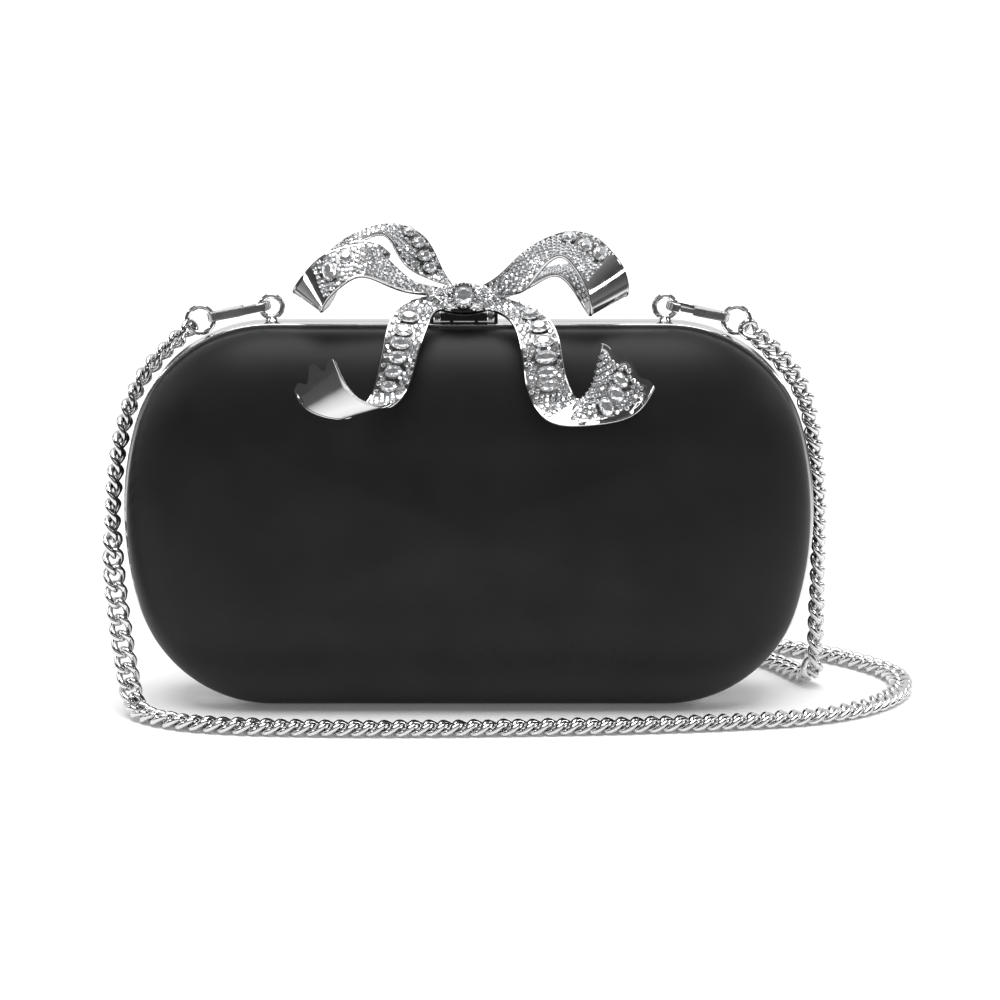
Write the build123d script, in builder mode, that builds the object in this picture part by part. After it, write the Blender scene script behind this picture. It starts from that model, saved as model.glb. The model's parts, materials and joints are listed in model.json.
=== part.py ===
from build123d import *
from math import asin, cos, degrees, hypot, pi, radians, sin, tan
import os

os.makedirs("parts", exist_ok=True)

# An evening bag: a rigid oval box in two halves, hinged along the bottom, covered in satin,
# edged with polished metal frames, closed by a jewelled ribbon bow and hung on a curb chain.
# Millimetres. +X is to the right, +Y to the back and +Z up. The origin is the middle of the
# base, on the parting plane between the two halves.

# ---------------------------------------------------------------- driving dimensions
WIDTH = 191.0
HEIGHT = 107.5
CORNER_RADIUS = 39.0
SIDE_RADIUS = 94.0
WALL_DEPTH = 8.0  # straight wall, from the parting plane to the start of the dome
DOME_INSET = 32.0  # how far the dome draws in from the outline to its flat crown
DOME_DEPTH = 16.5  # how far the dome stands beyond the straight wall
DOME_ANGLES = (0, 20, 40, 58, 74, 90)

FRONT = -1
BACK = 1
LEFT = -1
RIGHT = 1

# Layers, measured inwards from the outside of the frame
PARTING = 0.15  # half of the gap between the two frames
RIM_THICKNESS = 1.0
RIM_DEPTH = 4.3
RIM_FILLET = 0.4
FLANGE_DEPTH = 1.6
FLANGE_WIDTH = 4.6
LAYER_START = 1.75  # depth at which the cover, shell and lining begin, behind the flange
COVER = (1.15, 1.65)
SHELL = (1.8, 3.4)
LINING = (3.55, 4.05)

# Bottom hinges
HINGE_Z = 1.3
HINGE_X = 34.0
BARREL_RADIUS = 1.3
HINGE_PIN_RADIUS = 0.6
HINGE_BORE_RADIUS = 0.65
KNUCKLE_LENGTH = 4.8
KNUCKLE_GAP = 0.25
KNUCKLES = 5
BARREL_CLEARANCE = 0.2
LEAF_THICKNESS = 0.8
LEAF_TOP = 4.4
OPENING_ANGLE = 38.0
CHAMFER_ANGLE = OPENING_ANGLE + 4.0  # of the front frame under the hinge line

# Bow clasp on top of the frame
BOW_X = -1.2
PIVOT_Y = -2.2
PIVOT_Z = 109.5
LEVER_RADIUS = 1.4
LEVER_HALF = 6.4
EAR_INNER = 8.3
EAR_THICKNESS = 1.0
TONGUE_END = 3.9
STRIKER_Y = 1.9

# Chain fittings
EYELET_X = 54.2
FITTING_Y = 2.2  # the eyelets, hooks and rings stand over the back frame
EYELET_Z = 111.3
EYELET_RADIUS = 3.0
EYELET_WIRE = 0.75
JUMP_RADIUS = 3.65
JUMP_WIRE = 0.7
CHAIN_DIAMETER = 4.6

# ---------------------------------------------------------------- outline and layers
MIDDLE_Z = HEIGHT / 2
CORNER_RISE = MIDDLE_Z - CORNER_RADIUS
TURN = degrees(asin(CORNER_RISE / (SIDE_RADIUS - CORNER_RADIUS)))  # side arc's half angle
SIDE_CENTRE = WIDTH / 2 - SIDE_RADIUS
FLAT_HALF = SIDE_CENTRE + (SIDE_RADIUS - CORNER_RADIUS) * cos(radians(TURN))


def outline(inset, depth):
    """The bag's outline drawn in by inset, as a flat face lying at this depth along Y."""
    corner = CORNER_RADIUS - inset
    low = MIDDLE_Z - CORNER_RISE
    high = MIDDLE_Z + CORNER_RISE
    with BuildSketch(Plane.XZ.offset(-depth)) as sketch:
        with BuildLine():
            Line((0, low - corner), (FLAT_HALF, low - corner))
            CenterArc((FLAT_HALF, low), corner, -90, 90 - TURN)
            CenterArc((SIDE_CENTRE, MIDDLE_Z), SIDE_RADIUS - inset, -TURN, 2 * TURN)
            CenterArc((FLAT_HALF, high), corner, TURN, 90 - TURN)
            Line((FLAT_HALF, high + corner), (0, high + corner))
            mirror(about=Plane.YZ)
        make_face()
    return sketch.sketch.face()


def dome(side, layer):
    """The outlines that one surface of a half case passes through, from rim to crown."""
    faces = [outline(layer, side * LAYER_START)]
    for angle in DOME_ANGLES:
        across = DOME_DEPTH * cos(radians(angle))
        along = DOME_INSET * sin(radians(angle))
        slope = hypot(across, along)
        inset = DOME_INSET * (1 - cos(radians(angle))) + layer * across / slope
        depth = WALL_DEPTH + DOME_DEPTH * sin(radians(angle)) - layer * along / slope
        faces.append(outline(inset, side * depth))
    return faces


def half_layer(side, layer):
    """One layer of a half case, such as its shell: an open tray of even thickness."""
    outer, inner = layer
    with BuildPart() as tray:
        loft(dome(side, outer))
        loft(dome(side, inner), mode=Mode.SUBTRACT)
    return tray


def along_x(x, y, z, radius, length, **options):
    """A cylinder lying along X, centred on the point."""
    with Locations((x, y, z)):
        Cylinder(radius, length, rotation=(0, 90, 0), **options)


# ---------------------------------------------------------------- cases
front_shell = half_layer(FRONT, SHELL)
back_shell = half_layer(BACK, SHELL)
front_cover = half_layer(FRONT, COVER)
back_cover = half_layer(BACK, COVER)
front_lining = half_layer(FRONT, LINING)
back_lining = half_layer(BACK, LINING)

# ---------------------------------------------------------------- frames
HINGE_LENGTH = KNUCKLES * KNUCKLE_LENGTH + (KNUCKLES - 1) * KNUCKLE_GAP
NOTCH_RADIUS = BARREL_RADIUS + BARREL_CLEARANCE
NOTCH_LENGTH = HINGE_LENGTH + 2 * BARREL_CLEARANCE
LEAF_LOW = HINGE_Z + NOTCH_RADIUS
POCKET_PLAY = 0.05
CHAMFER_REACH = 3.0


def case_frame(side):
    """A polished rim with an inner flange, let out for the two hinges at the bottom."""
    outward = (0, side, 0)
    with BuildPart() as frame:
        extrude(outline(0, side * PARTING), amount=RIM_DEPTH - PARTING, dir=outward)
        rim_edges = frame.edges().group_by(Axis.Y)[-1 if side > 0 else 0]
        fillet(rim_edges, radius=RIM_FILLET)
        extrude(
            outline(RIM_THICKNESS, side * FLANGE_DEPTH),
            amount=RIM_DEPTH,
            dir=outward,
            mode=Mode.SUBTRACT,
        )
        extrude(
            outline(FLANGE_WIDTH, side * PARTING),
            amount=RIM_DEPTH,
            dir=outward,
            mode=Mode.SUBTRACT,
        )
        for x in (-HINGE_X, HINGE_X):
            along_x(x, 0, HINGE_Z, NOTCH_RADIUS, NOTCH_LENGTH, mode=Mode.SUBTRACT)
            with Locations((x, side * (PARTING + LEAF_THICKNESS / 2), (HINGE_Z + LEAF_TOP) / 2)):
                Box(
                    HINGE_LENGTH + 2 * POCKET_PLAY,
                    LEAF_THICKNESS + 2 * POCKET_PLAY,
                    LEAF_TOP - HINGE_Z + 2 * POCKET_PLAY,
                    mode=Mode.SUBTRACT,
                )
        if side == FRONT:
            # the chamfer under the hinge line, which lets this half swing open
            with BuildSketch(Plane.YZ):
                with BuildLine():
                    Polyline(
                        (0, HINGE_Z),
                        (0, HINGE_Z - CHAMFER_REACH),
                        (
                            -CHAMFER_REACH * tan(radians(CHAMFER_ANGLE)),
                            HINGE_Z - CHAMFER_REACH,
                        ),
                        close=True,
                    )
                make_face()
            extrude(amount=FLAT_HALF + CORNER_RADIUS / 2, both=True, mode=Mode.SUBTRACT)
    return frame


back_frame = case_frame(BACK)
front_frame = case_frame(FRONT)

# ---------------------------------------------------------------- hinges
def knuckle_centre(hinge_x, index):
    """The middle of one knuckle along X, counted from the hinge's left end."""
    pitch = KNUCKLE_LENGTH + KNUCKLE_GAP
    return hinge_x + (index - (KNUCKLES - 1) / 2) * pitch


def hinge_leaves(side, first):
    """A leaf for each hinge, carrying every other knuckle from the first one on."""
    web_height = LEAF_LOW - HINGE_Z
    with BuildPart() as leaves:
        for hinge_x in (-HINGE_X, HINGE_X):
            middle = side * (PARTING + LEAF_THICKNESS / 2)
            with Locations((hinge_x, middle, (LEAF_LOW + LEAF_TOP) / 2)):
                Box(HINGE_LENGTH, LEAF_THICKNESS, LEAF_TOP - LEAF_LOW)
            for index in range(first, KNUCKLES, 2):
                x = knuckle_centre(hinge_x, index)
                along_x(x, 0, HINGE_Z, BARREL_RADIUS, KNUCKLE_LENGTH)
                with Locations((x, middle, HINGE_Z + web_height / 2)):
                    Box(KNUCKLE_LENGTH, LEAF_THICKNESS, web_height)
        for hinge_x in (-HINGE_X, HINGE_X):
            along_x(hinge_x, 0, HINGE_Z, HINGE_BORE_RADIUS, NOTCH_LENGTH, mode=Mode.SUBTRACT)
    return leaves


back_hinge_leaves = hinge_leaves(BACK, 0)
front_hinge_leaves = hinge_leaves(FRONT, 1)

with BuildPart() as hinge_pins:
    for hinge_x in (-HINGE_X, HINGE_X):
        along_x(hinge_x, 0, HINGE_Z, HINGE_PIN_RADIUS, HINGE_LENGTH)

# ---------------------------------------------------------------- bow clasp
CLASP_PIN_RADIUS = 0.6
CLASP_BORE_RADIUS = 0.65
BASE_THICKNESS = 0.4
EAR_RADIUS = 1.7
TONGUE_HALF = 2.4
TONGUE_LOW = 109.1
TONGUE_THICKNESS = 0.8
BARB_TOP = 110.1
BARB_START = 3.1
BARB_RAMP = 0.2
ARM_MIDDLE = (-4.6, 109.9)
ARM_SIZE = (4.8, 2.2)
SPRING_WIRE = 0.2
SPRING_RADIUS = 1.15
SPRING_PITCH = 0.55
SPRING_LENGTH = 1.3
STRIKER_INNER = 2.9
STRIKER_THICKNESS = 1.0
STRIKER_LOW = 110.3
STRIKER_HIGH = 111.2
EAR_OUTER = EAR_INNER + EAR_THICKNESS

with BuildPart() as clasp_bracket:
    with Locations((BOW_X, PIVOT_Y, HEIGHT)):
        Box(
            2 * EAR_OUTER,
            2 * EAR_RADIUS,
            BASE_THICKNESS,
            align=(Align.CENTER, Align.CENTER, Align.MIN),
        )
    for sign in (-1, 1):
        x = BOW_X + sign * (EAR_INNER + EAR_THICKNESS / 2)
        along_x(x, PIVOT_Y, PIVOT_Z, EAR_RADIUS, EAR_THICKNESS)
        with Locations((x, PIVOT_Y, HEIGHT)):
            Box(
                EAR_THICKNESS,
                2 * EAR_RADIUS,
                PIVOT_Z - HEIGHT,
                align=(Align.CENTER, Align.CENTER, Align.MIN),
            )
    along_x(BOW_X, PIVOT_Y, PIVOT_Z, CLASP_PIN_RADIUS, 3 * EAR_OUTER, mode=Mode.SUBTRACT)

with BuildPart() as clasp_pin:
    along_x(BOW_X, PIVOT_Y, PIVOT_Z, CLASP_PIN_RADIUS, 2 * EAR_OUTER)

with BuildPart() as clasp_lever:
    along_x(BOW_X, PIVOT_Y, PIVOT_Z, LEVER_RADIUS, 2 * LEVER_HALF)
    # the arm reaches forward to the knot
    with Locations((BOW_X, *ARM_MIDDLE)):
        Box(2 * LEVER_HALF, *ARM_SIZE)
    # the tongue passes back under the striker and ends in a low barb
    with BuildSketch(Plane.YZ.offset(BOW_X - TONGUE_HALF)):
        with BuildLine():
            Polyline(
                (PIVOT_Y, TONGUE_LOW),
                (TONGUE_END, TONGUE_LOW),
                (TONGUE_END, BARB_TOP),
                (BARB_START, BARB_TOP),
                (BARB_START - BARB_RAMP, TONGUE_LOW + TONGUE_THICKNESS),
                (PIVOT_Y, TONGUE_LOW + TONGUE_THICKNESS),
                close=True,
            )
        make_face()
    extrude(amount=2 * TONGUE_HALF)
    along_x(BOW_X, PIVOT_Y, PIVOT_Z, CLASP_BORE_RADIUS, 3 * LEVER_HALF, mode=Mode.SUBTRACT)

with BuildPart() as striker:
    with BuildSketch(Plane.XZ.offset(-STRIKER_Y - STRIKER_THICKNESS / 2)):
        striker_outer = STRIKER_INNER + STRIKER_THICKNESS
        with Locations((BOW_X, (HEIGHT + STRIKER_HIGH) / 2)):
            Rectangle(2 * striker_outer, STRIKER_HIGH - HEIGHT)
        with Locations((BOW_X, (HEIGHT + STRIKER_LOW) / 2)):
            Rectangle(2 * STRIKER_INNER, STRIKER_LOW - HEIGHT, mode=Mode.SUBTRACT)
    extrude(amount=STRIKER_THICKNESS)


def clasp_spring(side):
    """A small torsion coil round the pivot pin, between the lever and one ear."""
    start_x = BOW_X + side * (EAR_INNER + LEVER_HALF) / 2 - SPRING_LENGTH / 2
    with BuildPart() as spring:
        with BuildLine() as coil:
            Helix(
                SPRING_PITCH,
                SPRING_LENGTH,
                SPRING_RADIUS,
                center=(start_x, PIVOT_Y, PIVOT_Z),
                direction=(1, 0, 0),
            )
        with BuildSketch(Plane(origin=coil.line @ 0, z_dir=coil.line % 0)):
            Circle(SPRING_WIRE)
        sweep()
    return spring


left_clasp_spring = clasp_spring(LEFT)
right_clasp_spring = clasp_spring(RIGHT)

# ---------------------------------------------------------------- bow
RIBBON_THICKNESS = 1.1

# Each ribbon is given by pairs of points on its two edges, from the knot outwards. The tails
# hang in front of the case and curl at their ends. The loops return to the knot.
LEFT_TAIL = [
    ((-9.5, -8.8, 116.5), (-4.0, -8.8, 112.5)),
    ((-18.0, -12.0, 114.0), (-8.5, -11.5, 112.0)),
    ((-21.5, -17.5, 110.0), (-10.5, -16.5, 109.5)),
    ((-23.0, -22.0, 103.5), (-13.0, -21.5, 103.0)),
    ((-24.5, -25.0, 97.0), (-14.5, -24.5, 97.5)),
    ((-26.5, -27.5, 91.5), (-17.0, -27.5, 92.0)),
    ((-31.0, -31.5, 87.5), (-21.5, -31.5, 90.0)),
    ((-38.0, -34.5, 87.5), (-28.0, -34.0, 92.0)),
    ((-44.0, -35.5, 90.5), (-32.5, -35.0, 97.0)),
    ((-46.5, -35.0, 95.5), (-35.5, -34.5, 104.0)),
]
RIGHT_TAIL = [
    ((1.5, -8.8, 112.5), (7.0, -8.8, 116.5)),
    ((7.5, -11.5, 112.0), (17.0, -12.5, 113.5)),
    ((12.0, -16.5, 109.5), (22.5, -17.5, 110.5)),
    ((14.0, -21.5, 104.5), (25.0, -22.0, 105.5)),
    ((15.0, -24.5, 98.5), (26.0, -25.0, 99.5)),
    ((16.5, -27.0, 91.5), (28.0, -27.0, 93.5)),
    ((21.0, -31.0, 86.0), (30.0, -28.0, 91.0)),
    ((33.0, -34.0, 85.0), (33.0, -29.0, 94.0)),
    ((45.0, -33.5, 88.0), (34.5, -29.0, 100.0)),
    ((50.5, -32.5, 95.5), (36.0, -29.0, 107.0)),
]
LEFT_LOOP = [
    ((-8.5, -3.5, 117.5), (-8.5, -5.5, 115.5)),
    ((-16.0, -5.0, 120.0), (-17.5, -10.0, 117.5)),
    ((-22.0, -4.5, 125.3), (-24.0, -12.5, 120.5)),
    ((-28.0, -5.5, 129.2), (-29.5, -14.0, 122.0)),
    ((-35.0, -6.5, 128.7), (-34.5, -15.5, 119.5)),
    ((-42.0, -7.5, 124.8), (-38.0, -16.0, 116.0)),
    ((-47.5, -6.5, 117.5), (-39.5, -16.0, 113.0)),
    ((-45.0, 0.0, 118.2), (-36.5, -9.0, 115.3)),
    ((-38.0, 5.0, 126.2), (-34.5, -2.0, 123.1)),
    ((-29.0, 6.5, 131.6), (-28.5, -1.5, 130.3)),
    ((-20.0, 5.5, 133.4), (-22.8, -2.8, 131.8)),
    ((-12.0, 3.5, 130.2), (-19.6, -4.0, 127.3)),
    ((-7.6, 0.5, 122.8), (-15.5, -4.3, 122.4)),
    ((-4.0, -2.6, 117.4), (-8.2, -3.2, 119.2)),
]
RIGHT_LOOP = [
    ((2.5, -3.5, 117.5), (6.0, -5.0, 115.5)),
    ((8.5, -4.0, 121.0), (14.5, -9.5, 117.0)),
    ((14.0, -2.5, 126.0), (18.5, -11.0, 121.5)),
    ((20.0, -2.0, 130.0), (22.0, -12.5, 126.0)),
    ((27.5, -2.0, 132.5), (25.5, -13.5, 127.5)),
    ((34.0, -2.5, 131.5), (28.5, -14.5, 125.0)),
    ((39.5, -4.0, 127.0), (31.5, -15.5, 120.0)),
    ((43.0, -5.5, 121.5), (33.0, -16.5, 115.5)),
    ((43.5, -5.0, 116.0), (33.0, -15.5, 112.0)),
    ((40.0, -1.0, 117.0), (31.0, -11.0, 114.0)),
    ((31.5, 2.0, 122.5), (24.5, -8.0, 121.5)),
    ((20.5, 2.5, 121.5), (17.5, -5.5, 118.5)),
    ((5.5, -2.0, 115.5), (6.0, -3.5, 113.5)),
]


def ribbon_surface(stations):
    """The ribbon's middle surface, ruled between the curves through its edge points."""
    near_edge = Spline([near for near, far in stations])
    far_edge = Spline([far for near, far in stations])
    return Face.make_surface_from_curves(near_edge.edge(), far_edge.edge())


def ribbon(stations):
    """A cast metal ribbon of even thickness about its middle surface."""
    with BuildPart() as strip:
        thicken(ribbon_surface(stations), amount=RIBBON_THICKNESS / 2, both=True)
    return strip


left_tail = ribbon(LEFT_TAIL)
right_tail = ribbon(RIGHT_TAIL)
left_loop = ribbon(LEFT_LOOP)
right_loop = ribbon(RIGHT_LOOP)

KNOT_CENTRE = (BOW_X, -6.2, 114.6)
KNOT_HALF_LENGTH = 9.0
KNOT_RADIUS = 4.35
STONE_RADIUS = 3.0
BEZEL_WALL = 0.5
BEZEL_PLAY = 0.05
BEZEL_HEIGHT = 5.0  # from the knot's centre to the bezel's lip
STONE_SEAT = 3.4  # from the knot's centre to the back of the stone
STONE_RISE = 2.3
STONE_BEVEL = 0.9
KNOT_FACING = Plane(origin=KNOT_CENTRE, x_dir=(1, 0, 0), z_dir=(0, -0.92, 0.39))

# The knot is a plump spindle of metal that the ribbons' ends and the lever's arm are let into.
with BuildPart() as bow_knot:
    with BuildSketch(Plane.XY.move(Location(KNOT_CENTRE))):
        Ellipse(KNOT_HALF_LENGTH, KNOT_RADIUS)
        split(bisect_by=Plane.XZ)
    revolve(axis=Axis(KNOT_CENTRE, (1, 0, 0)))
    with BuildSketch(KNOT_FACING):
        Circle(STONE_RADIUS + BEZEL_PLAY + BEZEL_WALL)
    extrude(amount=BEZEL_HEIGHT)
    with BuildSketch(KNOT_FACING.offset(STONE_SEAT)):
        Circle(STONE_RADIUS + BEZEL_PLAY)
    extrude(amount=BEZEL_HEIGHT, mode=Mode.SUBTRACT)
    for piece in (left_tail, right_tail, left_loop, right_loop, clasp_lever):
        add(piece.part, mode=Mode.SUBTRACT)

with BuildPart() as knot_stone:
    with BuildSketch(KNOT_FACING.offset(STONE_SEAT)):
        Circle(STONE_RADIUS)
    extrude(amount=STONE_RISE)
    crown = knot_stone.faces().sort_by(Axis(KNOT_CENTRE, KNOT_FACING.z_dir))[-1]
    chamfer(crown.edges(), STONE_BEVEL)

# The large oval stones stand in rows down the ribbons. Each is given by how far along and
# across its ribbon it sits, from 0 to 1, and by its half length across and half width along.
STONE_HEIGHT = 1.7
STONE_TABLE = 0.62  # the flat top of a stone, as a share of its width
STONE_GAP = 0.25  # between the ribbon and the back of the stone, filled by its prongs
LEFT_TAIL_STONES = [
    (0.194, 0.42, 2.7, 1.8),
    (0.262, 0.40, 2.6, 1.7),
    (0.324, 0.42, 2.5, 1.6),
    (0.388, 0.43, 2.4, 1.6),
    (0.451, 0.40, 2.3, 1.5),
    (0.520, 0.40, 2.2, 1.4),
]
RIGHT_TAIL_STONES = [
    (0.195, 0.70, 2.4, 1.7),
    (0.268, 0.68, 2.7, 1.8),
    (0.335, 0.64, 2.8, 1.7),
    (0.400, 0.62, 2.8, 1.7),
    (0.460, 0.58, 2.7, 1.6),
    (0.512, 0.52, 2.7, 1.5),
    (0.809, 0.36, 2.5, 1.8),
    (0.876, 0.46, 2.5, 1.8),
    (0.930, 0.52, 2.3, 1.6),
]
LEFT_LOOP_STONES = [
    (0.276, 0.31, 2.2, 1.9),
    (0.325, 0.47, 3.0, 1.8),
]
LEFT_LOOP_UPPER_STONES = [
    (0.820, 0.24, 1.8, 1.45),
    (0.854, 0.29, 1.9, 1.5),
    (0.891, 0.36, 1.9, 1.5),
    (0.929, 0.44, 1.8, 1.5),
]
RIGHT_LOOP_STONES = [
    (0.314, 0.28, 2.2, 1.9),
    (0.362, 0.38, 2.2, 1.9),
    (0.411, 0.28, 2.4, 1.8),
]


def ribbon_stones(stations, *rows):
    """A ribbon's faceted oval stones. Each row names the side of the ribbon that it stands on."""
    surface = ribbon_surface(stations)
    with BuildPart() as group:
        for facing, stones in rows:
            for along, across, half_length, half_width in stones:
                seat = surface.location_at(along, across)
                outward = seat.z_axis.direction * facing
                foot = seat.position + outward * (RIBBON_THICKNESS / 2 + STONE_GAP)
                plane = Plane(origin=foot, x_dir=seat.y_axis.direction, z_dir=outward)
                with BuildSketch(plane):
                    Ellipse(half_length, half_width)
                with BuildSketch(plane.offset(STONE_HEIGHT)):
                    Ellipse(half_length * STONE_TABLE, half_width * STONE_TABLE)
                loft()
    return group


# The left loop turns over on its way round, so its two rows stand on opposite sides.
left_tail_stones = ribbon_stones(LEFT_TAIL, (1, LEFT_TAIL_STONES))
right_tail_stones = ribbon_stones(RIGHT_TAIL, (1, RIGHT_TAIL_STONES))
left_loop_stones = ribbon_stones(
    LEFT_LOOP, (1, LEFT_LOOP_STONES), (-1, LEFT_LOOP_UPPER_STONES)
)
right_loop_stones = ribbon_stones(RIGHT_LOOP, (-1, RIGHT_LOOP_STONES))

# ---------------------------------------------------------------- chain fittings
FOOT_RADIUS = 1.9
FOOT_TOP_RADIUS = 0.9
FOOT_HEIGHT = 0.9
HOOK_SLOPE = 12.0  # degrees that a hook rises from its jump ring to its eyelet
HOOK_THICKNESS = 2.4
HOOK_FILLET = 0.35
EYELET_PLAY = 0.65  # between the eyelet's wire and the far end of the hook's slot
HOOK_EYE = (1.75, 1.0)
HOOK_CLAW = (3.3, 1.9)
HOOK_LENGTH = 12.9  # from the middle of the eye to the far end of the slot
HOOK_SLOT_START = 9.8
GATE_START = 5.6
GATE_END = 12.6
GATE_LINE = 0.9
GATE_PIVOT = (7.0, 1.35)
GATE_ROOT_END = 8.6
GATE_THICKNESS = 1.2
GATE_PLAY = 0.1
GATE_RELIEF = 0.45  # below the gate, so that its root can swing inwards
GATE_TIP_PLAY = 0.4  # at the gate's free end, whose outer corner swings wider than its length
RIVET_RADIUS = 0.4
RIVET_BORE = 0.45
EYE_ANGLE = 15.0  # where the hook's eye sits round its jump ring


def eyelet(x):
    """A ring standing on a flared foot on the back frame, facing the front."""
    with BuildPart() as ring:
        with Locations(Location((x, FITTING_Y, EYELET_Z), (90, 0, 0))):
            Torus(EYELET_RADIUS, EYELET_WIRE)
        with Locations((x, FITTING_Y, HEIGHT)):
            Cone(
                FOOT_RADIUS,
                FOOT_TOP_RADIUS,
                FOOT_HEIGHT,
                align=(Align.CENTER, Align.CENTER, Align.MIN),
            )
    return ring


def jump_ring(centre):
    """A plain round ring facing the front."""
    with BuildPart() as ring:
        with Locations(Location(centre, (90, 0, 0))):
            Torus(JUMP_RADIUS, JUMP_WIRE)
    return ring


def hook_plane(side):
    """The middle plane of a hook: its origin is the eye and its X runs to the eyelet."""
    slope = radians(HOOK_SLOPE)
    claw_u = HOOK_LENGTH + HOOK_CLAW[1] - EYELET_WIRE - EYELET_PLAY
    wire_x = side * (EYELET_X + EYELET_RADIUS)
    eye = (
        wire_x + side * claw_u * cos(slope),
        FITTING_Y,
        EYELET_Z - claw_u * sin(slope),
    )
    return Plane(
        origin=eye,
        x_dir=(-side * cos(slope), 0, sin(slope)),
        z_dir=(side * sin(slope), 0, cos(slope)),
    )


def hook_outline(plane):
    """A hook's flat shape: a teardrop with an eye at one end and a slot in its claw."""
    with BuildSketch(plane) as shape:
        Circle(HOOK_EYE[0])
        with Locations((HOOK_LENGTH, 0)):
            Circle(HOOK_CLAW[0])
        make_hull()
        Circle(HOOK_EYE[1], mode=Mode.SUBTRACT)
        with Locations(((HOOK_SLOT_START + HOOK_LENGTH) / 2, 0)):
            SlotCenterToCenter(
                HOOK_LENGTH - HOOK_SLOT_START, 2 * HOOK_CLAW[1], mode=Mode.SUBTRACT
            )
    return shape.sketch


def gate_window(plane, start, end, line):
    """The part of a hook's outline between two stations, on the gate's side of the line."""
    with BuildSketch(plane) as window:
        with Locations(((start + end) / 2, line + HOOK_CLAW[0] / 2)):
            Rectangle(end - start, HOOK_CLAW[0])
    return window.sketch


def hook_body(plane):
    """A lobster hook without its gate: open along one side, with two cheeks at the pivot."""
    with BuildPart() as body:
        extrude(hook_outline(plane), amount=HOOK_THICKNESS / 2, both=True)
        flats = body.faces().sort_by(Axis(plane.origin, plane.z_dir))
        fillet(flats[-1].edges() + flats[0].edges(), HOOK_FILLET)
        extrude(
            gate_window(plane, GATE_ROOT_END, GATE_END, GATE_LINE),
            amount=HOOK_THICKNESS,
            both=True,
            mode=Mode.SUBTRACT,
        )
        extrude(
            gate_window(plane, GATE_START, GATE_END, GATE_LINE - GATE_RELIEF),
            amount=GATE_THICKNESS / 2 + GATE_PLAY,
            both=True,
            mode=Mode.SUBTRACT,
        )
        with BuildSketch(plane):
            with Locations(GATE_PIVOT):
                Circle(RIVET_RADIUS)
        extrude(amount=HOOK_THICKNESS, both=True, mode=Mode.SUBTRACT)
    return body


def hook_gate(plane):
    """The lever that closes a hook's opening, turning about its rivet."""
    with BuildPart() as gate:
        extrude(hook_outline(plane), amount=GATE_THICKNESS / 2, both=True)
        extrude(
            gate_window(
                plane, GATE_START + GATE_PLAY, GATE_END - GATE_TIP_PLAY, GATE_LINE + GATE_PLAY
            ),
            amount=GATE_THICKNESS,
            both=True,
            mode=Mode.INTERSECT,
        )
        with BuildSketch(plane):
            with Locations(GATE_PIVOT):
                Circle(RIVET_BORE)
        extrude(amount=GATE_THICKNESS, both=True, mode=Mode.SUBTRACT)
    return gate


def hook_rivet(plane):
    """The rivet that a gate turns on, through both cheeks of its hook."""
    with BuildPart() as rivet:
        with BuildSketch(plane):
            with Locations(GATE_PIVOT):
                Circle(RIVET_RADIUS)
        extrude(amount=HOOK_THICKNESS / 2, both=True)
    return rivet


def jump_centre(side):
    """The middle of a jump ring, which passes through its hook's eye."""
    eye = hook_plane(side).origin
    return (
        eye.X + side * JUMP_RADIUS * cos(radians(EYE_ANGLE)),
        FITTING_Y,
        eye.Z - JUMP_RADIUS * sin(radians(EYE_ANGLE)),
    )


left_eyelet = eyelet(LEFT * EYELET_X)
right_eyelet = eyelet(RIGHT * EYELET_X)
left_hook_body = hook_body(hook_plane(LEFT))
right_hook_body = hook_body(hook_plane(RIGHT))
left_hook_gate = hook_gate(hook_plane(LEFT))
right_hook_gate = hook_gate(hook_plane(RIGHT))
left_hook_rivet = hook_rivet(hook_plane(LEFT))
right_hook_rivet = hook_rivet(hook_plane(RIGHT))
left_jump_ring = jump_ring(jump_centre(LEFT))
right_jump_ring = jump_ring(jump_centre(RIGHT))

# ---------------------------------------------------------------- chain
FLOOR = CHAIN_DIAMETER / 2 + 0.1

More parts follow.
